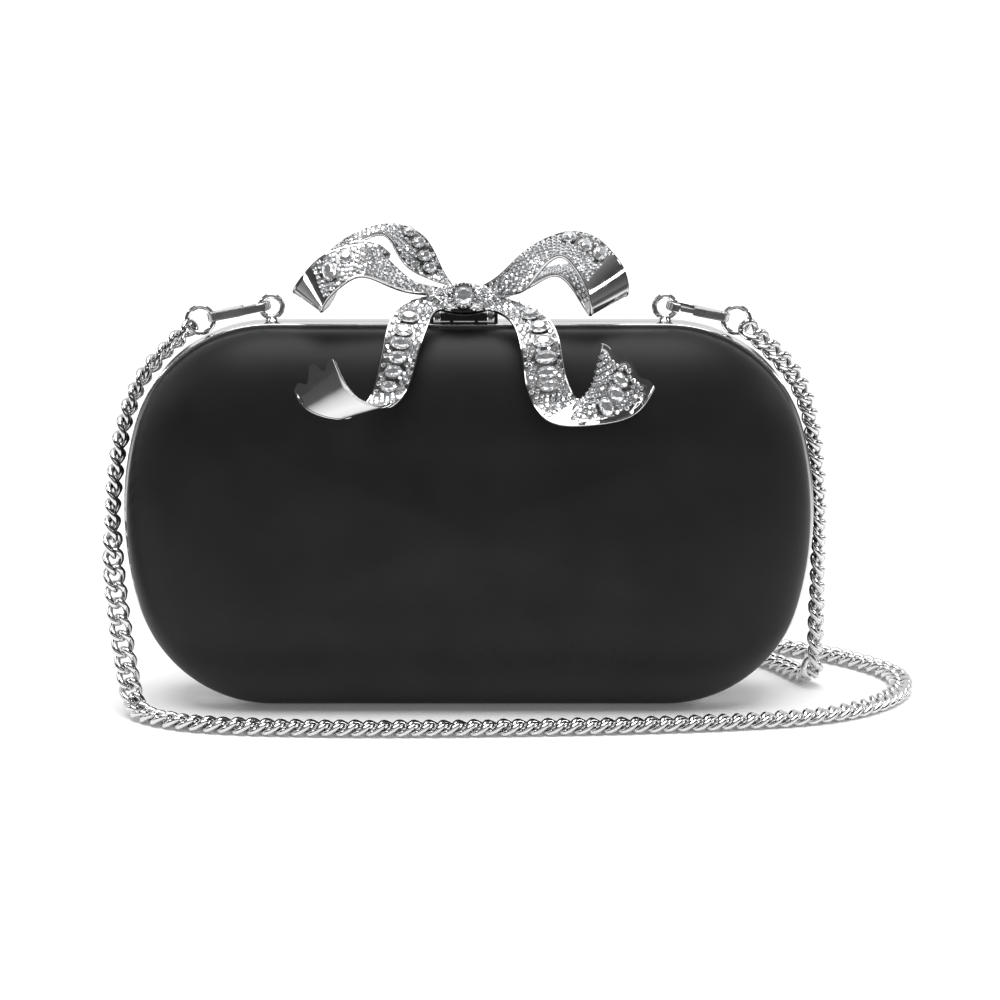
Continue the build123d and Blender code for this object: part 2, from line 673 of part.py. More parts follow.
# The route of the chain's middle, from the left jump ring to the right one.
CHAIN_ROUTE = [
    (-77.0, 2.2, 105.2),
    (-87.5, -0.5, 96.4),
    (-93.8, -5.0, 84.5),
    (-97.4, -9.5, 67.0),
    (-98.1, -13.0, 47.0),
    (-96.6, -15.0, 28.5),
    (-94.4, -15.6, 13.0),
    (-93.2, -17.0, 5.4),
    (-90.8, -21.5, FLOOR),
    (-84.5, -28.0, FLOOR),
    (-75.0, -33.0, FLOOR),
    (-60.0, -36.2, FLOOR),
    (-38.0, -37.9, FLOOR),
    (-13.0, -38.0, FLOOR),
    (14.0, -37.0, FLOOR),
    (41.0, -35.2, FLOOR),
    (64.0, -32.5, FLOOR),
    (82.0, -29.4, FLOOR),
    (96.0, -25.5, FLOOR),
    (107.8, -18.5, FLOOR),
    (117.0, -8.0, FLOOR),
    (122.4, 5.0, FLOOR),
    (122.0, 18.5, FLOOR),
    (115.5, 30.5, FLOOR),
    (105.0, 41.5, FLOOR),
    (91.5, 50.5, FLOOR),
    (76.0, 58.5, FLOOR),
    (56.0, 65.5, FLOOR),
    (32.0, 70.0, FLOOR),
    (5.0, 72.6, FLOOR),
    (-22.0, 73.0, FLOOR),
    (-46.0, 71.0, FLOOR),
    (-60.0, 60.5, FLOOR),
    (-61.0, 44.0, FLOOR),
    (-49.0, 32.5, FLOOR),
    (-29.0, 30.0, FLOOR),
    (-5.0, 31.5, FLOOR),
    (21.0, 35.5, FLOOR),
    (45.0, 40.5, FLOOR),
    (65.0, 43.6, FLOOR),
    (79.5, 42.0, FLOOR),
    (87.5, 34.5, FLOOR),
    (92.0, 25.0, FLOOR),
    (95.5, 17.0, FLOOR),
    (97.6, 12.5, 5.6),
    (97.9, 11.2, 13.5),
    (98.0, 10.0, 28.0),
    (98.2, 9.0, 46.5),
    (97.3, 7.6, 65.0),
    (94.4, 6.0, 84.0),
    (87.4, 4.0, 96.4),
    (77.0, 2.2, 105.2),
]
ARC_SHARE = 0.45


def arc_radii(route):
    """The radius of the arc at each inner point, as large as its two runs allow."""
    radii = []
    for before, point, after in zip(route, route[1:], route[2:]):
        run_in = Vector(*point) - Vector(*before)
        run_out = Vector(*after) - Vector(*point)
        half_turn = radians(run_in.get_angle(run_out)) / 2
        radii.append(ARC_SHARE * min(run_in.length, run_out.length) / tan(half_turn))
    return radii


CHAIN_RADII = arc_radii(CHAIN_ROUTE)
with BuildPart() as chain:
    with BuildLine() as chain_path:
        FilletPolyline(*CHAIN_ROUTE, radius=CHAIN_RADII)
    with BuildSketch(Plane(origin=chain_path.line @ 0, z_dir=chain_path.line % 0)):
        Circle(CHAIN_DIAMETER / 2)
    sweep()
print("chain arc radii:", [round(radius, 1) for radius in CHAIN_RADII])
chain_length = chain_path.wire().length
chain_section = pi * (CHAIN_DIAMETER / 2) ** 2
print("chain length:", round(chain_length, 1))
print("volume over section times length:", round(chain.part.volume / chain_section / chain_length, 4))

# ---------------------------------------------------------------- export
PIECES = {
    "front_frame": front_frame,
    "front_shell": front_shell,
    "front_cover": front_cover,
    "front_lining": front_lining,
    "front_hinge_leaves": front_hinge_leaves,
    "back_frame": back_frame,
    "back_shell": back_shell,
    "back_cover": back_cover,
    "back_lining": back_lining,
    "back_hinge_leaves": back_hinge_leaves,
    "hinge_pins": hinge_pins,
    "clasp_bracket": clasp_bracket,
    "clasp_pin": clasp_pin,
    "clasp_lever": clasp_lever,
    "left_clasp_spring": left_clasp_spring,
    "right_clasp_spring": right_clasp_spring,
    "striker": striker,
    "bow_knot": bow_knot,
    "knot_stone": knot_stone,
    "left_tail": left_tail,
    "right_tail": right_tail,
    "left_loop": left_loop,
    "right_loop": right_loop,
    "left_tail_stones": left_tail_stones,
    "right_tail_stones": right_tail_stones,
    "left_loop_stones": left_loop_stones,
    "right_loop_stones": right_loop_stones,
    "left_eyelet": left_eyelet,
    "right_eyelet": right_eyelet,
    "left_hook_body": left_hook_body,
    "right_hook_body": right_hook_body,
    "left_hook_gate": left_hook_gate,
    "right_hook_gate": right_hook_gate,
    "left_hook_rivet": left_hook_rivet,
    "right_hook_rivet": right_hook_rivet,
    "left_jump_ring": left_jump_ring,
    "right_jump_ring": right_jump_ring,
    "chain": chain,
}
for name, piece in PIECES.items():
    piece.part.label = name
    export_step(piece.part, f"parts/{name}.step")
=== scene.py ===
import json
import math
import random

import bpy
import numpy as np
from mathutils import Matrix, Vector


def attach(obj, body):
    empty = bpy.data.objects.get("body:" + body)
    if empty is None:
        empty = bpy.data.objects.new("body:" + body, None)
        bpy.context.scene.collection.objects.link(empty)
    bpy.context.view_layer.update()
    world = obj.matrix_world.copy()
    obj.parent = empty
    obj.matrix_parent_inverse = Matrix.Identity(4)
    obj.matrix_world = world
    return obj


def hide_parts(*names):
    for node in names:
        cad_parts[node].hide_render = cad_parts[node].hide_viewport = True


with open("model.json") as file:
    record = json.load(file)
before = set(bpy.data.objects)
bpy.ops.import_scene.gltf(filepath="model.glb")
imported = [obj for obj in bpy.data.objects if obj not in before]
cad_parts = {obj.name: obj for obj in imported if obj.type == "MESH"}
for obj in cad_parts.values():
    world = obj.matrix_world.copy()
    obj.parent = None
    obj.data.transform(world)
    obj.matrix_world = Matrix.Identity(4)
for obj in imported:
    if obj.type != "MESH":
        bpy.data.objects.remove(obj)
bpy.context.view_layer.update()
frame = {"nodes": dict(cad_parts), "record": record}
nodes = frame["nodes"]

MM = 0.001
scene = bpy.context.scene


# ---------------------------------------------------------------- camera
TARGET = Vector((8.7, 0, 57.2)) * MM
DISTANCE = 1.1
ELEVATION = math.radians(12.4)

camera = bpy.data.objects.new("camera", bpy.data.cameras.new("camera"))
scene.collection.objects.link(camera)
camera.location = TARGET + DISTANCE * Vector((0, -math.cos(ELEVATION), math.sin(ELEVATION)))
camera.rotation_euler = (math.pi / 2 - ELEVATION, 0, 0)
camera.data.sensor_width = 36
camera.data.lens = 142.6
camera.data.clip_start = 0.01
camera.data.clip_end = 40
scene.camera = camera


# ---------------------------------------------------------------- small tools
def mesh_object(name, vertices, faces, smooth=True, sharp=None):
    """A mesh object from vertices in millimetres, linked to the scene."""
    mesh = bpy.data.meshes.new(name)
    mesh.from_pydata([tuple(float(c) * MM for c in v) for v in vertices], [], faces)
    mesh.update()
    if smooth:
        mesh.shade_smooth()
        if sharp is not None:
            mesh.set_sharp_from_angle(angle=math.radians(sharp))
    else:
        mesh.shade_flat()
    piece = bpy.data.objects.new(name, mesh)
    scene.collection.objects.link(piece)
    return piece


def unit(vectors):
    return vectors / np.linalg.norm(vectors, axis=-1, keepdims=True)


class Heap:
    """Many copies of small shapes gathered into one mesh."""

    def __init__(self):
        self.vertices = []
        self.faces = []
        self.count = 0

    def add(self, shape, centre, x_axis, y_axis, z_axis, scale=(1, 1, 1)):
        points, faces = shape
        axes = np.array([x_axis, y_axis, z_axis]) * np.array(scale)[:, None]
        self.vertices.append(points @ axes + np.array(centre))
        self.faces += [tuple(i + self.count for i in face) for face in faces]
        self.count += len(points)

    def piece(self, name, **options):
        return mesh_object(name, np.vstack(self.vertices), self.faces, **options)


# ---------------------------------------------------------------- materials
def nodes_of(name, colour, metallic, roughness):
    material = bpy.data.materials.new(name)
    material.use_nodes = True
    tree = material.node_tree
    shader = tree.nodes["Principled BSDF"]
    shader.inputs["Base Color"].default_value = (*colour, 1)
    shader.inputs["Metallic"].default_value = metallic
    shader.inputs["Roughness"].default_value = roughness
    place = tree.nodes.new("ShaderNodeTexCoord")
    return material, tree, shader, place.outputs["Object"]


def noise(tree, place, scale, detail=3.0):
    node = tree.nodes.new("ShaderNodeTexNoise")
    node.inputs["Scale"].default_value = scale
    node.inputs["Detail"].default_value = detail
    tree.links.new(place, node.inputs["Vector"])
    return node.outputs["Fac"]


def spread(tree, value, low, high, source=(0.35, 0.65)):
    node = tree.nodes.new("ShaderNodeMapRange")
    node.inputs["From Min"].default_value = source[0]
    node.inputs["From Max"].default_value = source[1]
    node.inputs["To Min"].default_value = low
    node.inputs["To Max"].default_value = high
    tree.links.new(value, node.inputs["Value"])
    return node.outputs["Result"]


def bump(tree, shader, height, strength, distance):
    node = tree.nodes.new("ShaderNodeBump")
    node.inputs["Strength"].default_value = strength
    node.inputs["Distance"].default_value = distance
    tree.links.new(height, node.inputs["Height"])
    tree.links.new(node.outputs["Normal"], shader.inputs["Normal"])


def polished(name, colour, roughness=0.06, waviness=0.00002):
    """Plated metal: even and bright, with a faint waviness and handling haze."""
    material, tree, shader, place = nodes_of(name, colour, 1.0, roughness)
    haze = spread(tree, noise(tree, place, 260), roughness * 0.7, roughness * 1.8)
    tree.links.new(haze, shader.inputs["Roughness"])
    bump(tree, shader, noise(tree, place, 90, 1.0), 0.12, waviness)
    return material


def brushed(name, colour):
    """Fine brushed steel, with its grain along X."""
    material, tree, shader, place = nodes_of(name, colour, 1.0, 0.3)
    stretch = tree.nodes.new("ShaderNodeMapping")
    stretch.inputs["Scale"].default_value = (40, 2500, 2500)
    tree.links.new(place, stretch.inputs["Vector"])
    grain = noise(tree, stretch.outputs["Vector"], 1.0, 4.0)
    tree.links.new(spread(tree, grain, 0.2, 0.45), shader.inputs["Roughness"])
    bump(tree, shader, grain, 0.25, 0.00003)
    return material


def woven(name, dark, light, roughness, sheen, pitch, relief):
    """Cloth with a fine diagonal weave, slightly uneven in colour, with a soft sheen."""
    material, tree, shader, place = nodes_of(name, dark, 0.0, roughness)
    shader.inputs["Specular IOR Level"].default_value = 0.24
    shader.inputs["Sheen Weight"].default_value = sheen
    shader.inputs["Sheen Roughness"].default_value = 0.45
    shader.inputs["Sheen Tint"].default_value = (0.75, 0.78, 0.85, 1)
    threads = tree.nodes.new("ShaderNodeTexWave")
    threads.wave_type = "BANDS"
    threads.bands_direction = "DIAGONAL"
    threads.inputs["Scale"].default_value = 0.314 / (pitch * MM)
    threads.inputs["Distortion"].default_value = 0.6
    threads.inputs["Detail"].default_value = 1.0
    tree.links.new(place, threads.inputs["Vector"])
    tone = tree.nodes.new("ShaderNodeMix")
    tone.data_type = "RGBA"
    tone.inputs["A"].default_value = (*dark, 1)
    tone.inputs["B"].default_value = (*light, 1)
    tree.links.new(spread(tree, noise(tree, place, 45, 5.0), 0.0, 1.0), tone.inputs["Factor"])
    tree.links.new(tone.outputs["Result"], shader.inputs["Base Color"])
    bump(tree, shader, threads.outputs["Fac"], relief, 0.00004)
    return material


def crystal(name):
    """Cut glass with a foil back: bright facets, each picking up its own part of the room, and a
    faint painted glow over them all.
    """
    material, tree, shader, place = nodes_of(name, (0.93, 0.95, 0.97), 0.9, 0.03)
    shader.inputs["Coat Weight"].default_value = 1.0
    shader.inputs["Coat Roughness"].default_value = 0.02
    # A faint white emission: painted light, a glow that the stones give off though they are no lamp.
    shader.inputs["Emission Color"].default_value = (1, 1, 1, 1)
    shader.inputs["Emission Strength"].default_value = 0.075
    tone = tree.nodes.new("ShaderNodeMix")
    tone.data_type = "RGBA"
    tone.inputs["A"].default_value = (0.62, 0.64, 0.66, 1)
    tone.inputs["B"].default_value = (0.98, 0.98, 1.0, 1)
    tree.links.new(spread(tree, noise(tree, place, 700, 0.0), 0.0, 1.0), tone.inputs["Factor"])
    tree.links.new(tone.outputs["Result"], shader.inputs["Base Color"])
    return material


def moulded(name, colour):
    """Dull moulded plastic."""
    material, tree, shader, place = nodes_of(name, colour, 0.0, 0.6)
    bump(tree, shader, noise(tree, place, 1800), 0.3, 0.00003)
    return material


chrome = polished("chrome", (0.68, 0.68, 0.685))
# Near-black polished metal for the clasp: painted shade, standing in for the dark between the knot
# and the frame top.
painted_shade_chrome = polished("painted_shade_chrome", (0.07, 0.07, 0.072), 0.09)
pave_metal = polished("pave_metal", (0.26, 0.26, 0.26), 0.2, 0.00004)
grain_metal = polished("grain_metal", (0.55, 0.55, 0.555), 0.1)
steel = brushed("steel", (0.5, 0.5, 0.51))
satin = woven("satin", (0.004, 0.0042, 0.0048), (0.0075, 0.0078, 0.0085), 0.47, 0.02, 0.3, 0.25)
lining_cloth = woven(
    "lining_cloth", (0.018, 0.018, 0.02), (0.03, 0.03, 0.033), 0.75, 0.25, 0.5, 0.6
)
glass = crystal("glass")
plastic = moulded("plastic", (0.05, 0.05, 0.05))

SLOT_MATERIALS = {
    "satin": satin,
    "shell": plastic,
    "lining": lining_cloth,
    "frame": chrome,
    "hinge": steel,
    # The clasp takes the near-black metal that paints in shade.
    "clasp": painted_shade_chrome,
    "bow": chrome,
    "stones": glass,
    "fittings": chrome,
    "chain": chrome,
}


def dress(piece, material, body, slot, *replaced):
    """Gives a finished piece its material and the body it moves with; the slot it is given is not
    used.
    """
    if material:
        piece.data.materials.append(material)
    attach(piece, body)
    if replaced:
        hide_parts(*replaced)
    return piece


for entry in frame["record"]["subparts"]:
    node = nodes[entry["node"]]
    node.data.materials.clear()
    node.data.materials.append(SLOT_MATERIALS[entry["material_slot"]])


# ---------------------------------------------------------------- chain
# The route runs from the left jump ring, down the left side, along the floor in front, round
# behind the case and up the right side. Millimetres.
FLOOR_Z = 2.1
CHAIN_ROUTE = [
    (-77.0, 2.2, 105.2),
    (-87.5, -0.5, 96.4),
    (-93.8, -5.0, 84.5),
    (-97.4, -9.5, 67.0),
    (-98.1, -13.0, 47.0),
    (-96.6, -15.0, 28.5),
    (-94.4, -15.6, 13.0),
    (-93.2, -17.0, 5.4),
    (-90.8, -21.5, FLOOR_Z),
    (-84.5, -28.0, FLOOR_Z),
    (-75.0, -33.0, FLOOR_Z),
    (-60.0, -36.2, FLOOR_Z),
    (-38.0, -37.9, FLOOR_Z),
    (-13.0, -38.0, FLOOR_Z),
    (14.0, -37.0, FLOOR_Z),
    (41.0, -35.2, FLOOR_Z),
    (64.0, -32.5, FLOOR_Z),
    (82.0, -29.4, FLOOR_Z),
    (96.0, -25.5, FLOOR_Z),
    (107.8, -18.5, FLOOR_Z),
    (117.0, -8.0, FLOOR_Z),
    (122.4, 5.0, FLOOR_Z),
    (122.0, 18.5, FLOOR_Z),
    (115.5, 30.5, FLOOR_Z),
    (105.0, 41.5, FLOOR_Z),
    (91.5, 50.5, FLOOR_Z),
    (76.0, 58.5, FLOOR_Z),
    (56.0, 65.5, FLOOR_Z),
    (32.0, 70.0, FLOOR_Z),
    (5.0, 72.6, FLOOR_Z),
    (-22.0, 73.0, FLOOR_Z),
    (-46.0, 71.0, FLOOR_Z),
    (-60.0, 60.5, FLOOR_Z),
    (-61.0, 44.0, FLOOR_Z),
    (-49.0, 32.5, FLOOR_Z),
    (-29.0, 30.0, FLOOR_Z),
    (-5.0, 31.5, FLOOR_Z),
    (21.0, 35.5, FLOOR_Z),
    (45.0, 40.5, FLOOR_Z),
    (65.0, 43.6, FLOOR_Z),
    (79.5, 42.0, FLOOR_Z),
    (87.5, 34.5, FLOOR_Z),
    (92.0, 25.0, FLOOR_Z),
    (95.5, 17.0, FLOOR_Z),
    (97.6, 12.5, 5.6),
    (97.9, 11.2, 13.5),
    (98.0, 10.0, 28.0),
    (98.2, 9.0, 46.5),
    (97.3, 7.6, 65.0),
    (94.4, 6.0, 84.0),
    (87.4, 4.0, 96.4),
    (77.0, 2.2, 105.2),
]
LINK_LENGTH = 8.3
LINK_WIDTH = 6.7
LINK_WIRE = 2.0
LINK_TWIST = math.radians(-52)  # of each end of a link, about its length
HANGING_PITCH = 4.62
FLOOR_PITCH = 4.05
LEFT_TURN = math.radians(82)  # of the hanging links about the vertical, away from the front
RIGHT_TURN = math.radians(66)


def route_points(route):
    """Points along one smooth curve that the route guides."""
    curve = bpy.data.curves.new("chain_route", "CURVE")
    curve.dimensions = "3D"
    spline = curve.splines.new("NURBS")
    spline.points.add(len(route) - 1)
    for point, place in zip(spline.points, route):
        point.co = (*(c * MM for c in place), 1)
    spline.order_u = 3
    spline.use_endpoint_u = True
    spline.resolution_u = 16
    holder = bpy.data.objects.new("chain_route", curve)
    scene.collection.objects.link(holder)
    depsgraph = bpy.context.evaluated_depsgraph_get()
    mesh = bpy.data.meshes.new_from_object(holder.evaluated_get(depsgraph))
    points = np.array([v.co for v in mesh.vertices]) / MM
    bpy.data.objects.remove(holder)
    bpy.data.meshes.remove(mesh)
    return points


def link_shape(around=26, section=8):
    """One curb link: an oval of wire lying along X, with its ends turned opposite ways."""
    half_length = (LINK_LENGTH - LINK_WIRE) / 2
    half_width = (LINK_WIDTH - LINK_WIRE) / 2
    angles = np.linspace(0, 2 * math.pi, around, endpoint=False)

    def centre(angle):
        cosine, sine = np.cos(angle), np.sin(angle)
        x = half_length * np.sign(cosine) * np.abs(cosine) ** 0.9
        y = half_width * np.sign(sine) * np.abs(sine) ** 0.85
        twist = LINK_TWIST * x / half_length
        return np.stack([x, y * np.cos(twist), y * np.sin(twist)], axis=-1)

    middle = centre(angles)
    tangent = unit(np.roll(middle, -1, axis=0) - np.roll(middle, 1, axis=0))
    twist = LINK_TWIST * middle[:, :1] / half_length
    flat = np.hstack([0 * twist, -np.sin(twist), np.cos(twist)])
    outward = unit(np.cross(tangent, flat))
    flat = np.cross(outward, tangent)
    vertices = []
    for turn in np.linspace(0, 2 * math.pi, section, endpoint=False):
        vertices.append(
            middle
            + LINK_WIRE / 2 * math.cos(turn) * outward
            + 0.92 * LINK_WIRE / 2 * math.sin(turn) * flat
        )
    vertices = np.stack(vertices, axis=1).reshape(-1, 3)
    faces = []
    for i in range(around):
        for j in range(section):
            a, b = i * section, ((i + 1) % around) * section
            k = (j + 1) % section
            faces.append((a + j, b + j, b + k, a + k))
    return vertices, faces


def chain_links(points):
    """Curb links set along the points, flat on the floor and turned where they hang."""
    steps = np.linalg.norm(np.diff(points, axis=0), axis=1)
    along = np.concatenate([[0], np.cumsum(steps)])
    total = along[-1]

    def at(distance):
        return np.array([np.interp(distance, along, points[:, i]) for i in range(3)])

    stations = [1.5]
    while True:
        height = at(stations[-1])[2]
        share = min(max((height - 3) / 14, 0), 1)
        stations.append(stations[-1] + FLOOR_PITCH + share * (HANGING_PITCH - FLOOR_PITCH))
        if stations[-1] > total - 2:
            break
    stations = np.array(stations)
    stations = stations[0] + (stations - stations[0]) * (total - 3.0) / (stations[-1] - stations[0])
    shape = link_shape()
    links = Heap()
    chance = random.Random(7)
    for station in stations:
        centre = at(station)
        tangent = unit(at(min(station + 2.2, total)) - at(max(station - 2.2, 0)))
        lying = 1 - min(max((centre[2] - 4) / 9, 0), 1)
        if station < total / 2:
            turned = LEFT_TURN * min(max((centre[2] - 28) / 26, 0), 1)
        else:
            turned = RIGHT_TURN
        facing = np.array([math.sin(turned), -math.cos(turned), 0]) * (1 - lying)
        facing = facing + np.array([0, 0, 1]) * lying
        tilt = math.radians(chance.uniform(-5, 5))
        normal = unit(facing - tangent * (facing @ tangent))
        across = np.cross(normal, tangent)
        normal, across = (
            normal * math.cos(tilt) + across * math.sin(tilt),
            across * math.cos(tilt) - normal * math.sin(tilt),
        )
        links.add(shape, centre, tangent, across, normal)
    return links.piece("chain_links")


route = route_points(CHAIN_ROUTE)
chain = dress(chain_links(route), chrome, "back", "chain", "chain")


# ---------------------------------------------------------------- covers and linings
WIDTH = 191.0
HEIGHT = 107.5
CORNER_RADIUS = 39.0
SIDE_RADIUS = 94.0
WALL_DEPTH = 8.0
DOME_INSET = 32.0
DOME_DEPTH = 16.5
MIDDLE_Z = HEIGHT / 2
CORNER_RISE = MIDDLE_Z - CORNER_RADIUS
TURN = math.asin(CORNER_RISE / (SIDE_RADIUS - CORNER_RADIUS))
SIDE_CENTRE = WIDTH / 2 - SIDE_RADIUS
FLAT_HALF = SIDE_CENTRE + (SIDE_RADIUS - CORNER_RADIUS) * math.cos(TURN)


def outline_ring(inset):
    """Points round the case's outline drawn in by inset, as X and Z."""
    corner = CORNER_RADIUS - inset
    quarter = [(x, MIDDLE_Z - CORNER_RISE - corner) for x in np.linspace(0, FLAT_HALF, 17)]
    for angle in np.linspace(-math.pi / 2, -TURN, 21)[1:]:
        quarter.append(
            (
                FLAT_HALF + corner * math.cos(angle),
                MIDDLE_Z - CORNER_RISE + corner * math.sin(angle),
            )
        )
    for angle in np.linspace(-TURN, 0, 13)[1:]:
        quarter.append(
            (
                SIDE_CENTRE + (SIDE_RADIUS - inset) * math.cos(angle),
                MIDDLE_Z + (SIDE_RADIUS - inset) * math.sin(angle),
            )
        )
    quarter = np.array(quarter)
    upper = quarter[-2::-1] * (1, -1) + (0, 2 * MIDDLE_Z)
    right = np.vstack([quarter, upper])
    left = right[-2:0:-1] * (-1, 1)
    return np.vstack([right, left])


def half_rings(layer, start, crown):
    """(ring, depth) pairs over one surface of a half case, from its rim to its crown."""
    rings = [(outline_ring(layer), depth) for depth in np.linspace(start, WALL_DEPTH, 8)]
    for angle in np.radians(np.linspace(0, 90, 31)[1:]):
        across, along = DOME_DEPTH * math.cos(angle), DOME_INSET * math.sin(angle)
        slope = math.hypot(across, along)
        inset = DOME_INSET * (1 - math.cos(angle)) + layer * across / slope
        depth = WALL_DEPTH + DOME_DEPTH * math.sin(angle) - layer * along / slope
        rings.append((outline_ring(inset), depth))
    edge, flat = rings[-1]
    centre = np.array([0, MIDDLE_Z])
    for share in np.linspace(1, 0.04, 18)[1:]:
        rings.append((centre + (edge - centre) * share, flat + crown * (1 - share**2) ** 2))
    return rings


def half_case(name, side, outer, inner, start, crown, ripple):
    """A sheet of cloth lying over or inside one half of the case, with its own thickness."""
    vertices, faces = [], []
    count = len(outline_ring(0))
    layers = [half_rings(outer, start, crown), half_rings(inner, start, crown)]
    for layer in layers:
        for ring, depth in layer:
            for x, z in ring:
                soft = min(max((depth - 5) / 6, 0), 1)
                wave = math.sin(x * 0.11 + 1.3) * math.sin(z * 0.13 + 0.4)
                wave += 0.6 * math.sin(x * 0.27 + z * 0.19)
                vertices.append((x, side * (depth + ripple * soft * wave), z))
    rows = len(layers[0])
    for layer in range(2):
        base = layer * rows * count
        for row in range(rows - 1):
            for i in range(count):
                k = (i + 1) % count
                a, b = base + row * count, base + (row + 1) * count
                face = (a + i, a + k, b + k, b + i)
                faces.append(face if (layer == 0) == (side > 0) else face[::-1])
        last = base + (rows - 1) * count
        cap = tuple(last + i for i in range(count))
        faces.append(cap if (layer == 0) == (side > 0) else cap[::-1])
    for i in range(count):
        k = (i + 1) % count
        face = (i, rows * count + i, rows * count + k, k)
        faces.append(face if side > 0 else face[::-1])
    return mesh_object(name, vertices, faces, sharp=50)


for side, body in ((-1, "front"), (1, "back")):
    cover = half_case(f"{body}_satin", side, 1.12, 1.6, 1.8, 1.1, 0.05)
    dress(cover, satin, body, "satin", f"{body}_cover")
    inside = half_case(f"{body}_lining_cloth", side, 3.6, 4.0, 1.9, -0.3, 0.12)
    dress(inside, lining_cloth, body, "lining", f"{body}_lining")


# ---------------------------------------------------------------- bow
LEFT_TAIL = [
    ((-9.5, -8.8, 116.5), (-4.0, -8.8, 112.5)),
    ((-18.0, -12.0, 114.0), (-8.5, -11.5, 112.0)),
    ((-21.5, -17.5, 110.0), (-10.5, -16.5, 109.5)),
    ((-23.0, -22.0, 103.5), (-13.0, -21.5, 103.0)),
    ((-24.5, -25.0, 97.0), (-14.5, -24.5, 97.5)),
    ((-26.5, -27.5, 91.5), (-17.0, -27.5, 92.0)),
    ((-31.0, -31.5, 87.5), (-21.5, -31.5, 90.0)),
    ((-38.0, -34.5, 87.5), (-28.0, -34.0, 92.0)),
    ((-44.0, -35.5, 90.5), (-32.5, -35.0, 97.0)),
    ((-46.5, -35.0, 95.5), (-35.5, -34.5, 104.0)),
]
RIGHT_TAIL = [
    ((1.5, -8.8, 112.5), (7.0, -8.8, 116.5)),
    ((7.5, -11.5, 112.0), (17.0, -12.5, 113.5)),
    ((12.0, -16.5, 109.5), (22.5, -17.5, 110.5)),
    ((14.0, -21.5, 104.5), (25.0, -22.0, 105.5)),
    ((15.0, -24.5, 98.5), (26.0, -25.0, 99.5)),
    ((16.5, -27.0, 91.5), (28.0, -27.0, 93.5)),
    ((21.0, -31.0, 86.0), (30.0, -28.0, 91.0)),
    ((33.0, -34.0, 85.0), (33.0, -29.0, 94.0)),
    ((45.0, -33.5, 88.0), (34.5, -29.0, 100.0)),
    ((50.5, -32.5, 95.5), (36.0, -29.0, 107.0)),
]
LEFT_LOOP = [
    ((-8.5, -3.5, 117.5), (-8.5, -5.5, 115.5)),
    ((-16.0, -5.0, 120.0), (-17.5, -10.0, 117.5)),
    ((-22.0, -4.5, 125.3), (-24.0, -12.5, 120.5)),
    ((-28.0, -5.5, 129.2), (-29.5, -14.0, 122.0)),
    ((-35.0, -6.5, 128.7), (-34.5, -15.5, 119.5)),
    ((-42.0, -7.5, 124.8), (-38.0, -16.0, 116.0)),
    ((-47.5, -6.5, 117.5), (-39.5, -16.0, 113.0)),
    ((-45.0, 0.0, 118.2), (-36.5, -9.0, 115.3)),
    ((-38.0, 5.0, 126.2), (-34.5, -2.0, 123.1)),
    ((-29.0, 6.5, 131.6), (-28.5, -1.5, 130.3)),
    ((-20.0, 5.5, 133.4), (-22.8, -2.8, 131.8)),
    ((-12.0, 3.5, 130.2), (-19.6, -4.0, 127.3)),
    ((-7.6, 0.5, 122.8), (-15.5, -4.3, 122.4)),
    ((-4.0, -2.6, 117.4), (-8.2, -3.2, 119.2)),
]
LEFT_LOOP_INSIDE = [
    ((-38.0, -2.5, 125.6), (-38.0, -7.5, 121.8)),
    ((-33.5, -2.0, 129.0), (-33.5, -7.5, 123.6)),
    ((-29.0, -2.0, 130.2), (-29.0, -7.5, 124.0)),
    ((-25.0, -2.0, 129.4), (-25.6, -7.5, 123.0)),
    ((-21.3, -2.4, 126.6), (-22.6, -7.0, 121.6)),
]
RIGHT_LOOP = [
    ((2.5, -3.5, 117.5), (6.0, -5.0, 115.5)),
    ((8.5, -4.0, 121.0), (14.5, -9.5, 117.0)),
    ((14.0, -2.5, 126.0), (18.5, -11.0, 121.5)),
    ((20.0, -2.0, 130.0), (22.0, -12.5, 126.0)),
    ((27.5, -2.0, 132.5), (25.5, -13.5, 127.5)),
    ((34.0, -2.5, 131.5), (28.5, -14.5, 125.0)),
    ((39.5, -4.0, 127.0), (31.5, -15.5, 120.0)),
    ((43.0, -5.5, 121.5), (33.0, -16.5, 115.5)),
    ((43.5, -5.0, 116.0), (33.0, -15.5, 112.0)),
    ((40.0, -1.0, 117.0), (31.0, -11.0, 114.0)),
    ((31.5, 2.0, 122.5), (24.5, -8.0, 121.5)),
    ((20.5, 2.5, 121.5), (17.5, -5.5, 118.5)),
    ((5.5, -2.0, 115.5), (6.0, -3.5, 113.5)),
]
EDGE_COLUMNS = ((0.0, 0.0), (0.05, 0.36), (0.2, 0.55), (0.5, 0.55))
BED_START = 0.68
BED_COLUMNS = 21
HALF_THICKNESS = 0.55
FACE_DROP = 0.14  # of the faces below the rounded edges
BED_DROP = 0.22  # of a bed of stones below the plain face
END_SHARE = 0.2  # the length of a tail over which its cut end takes shape


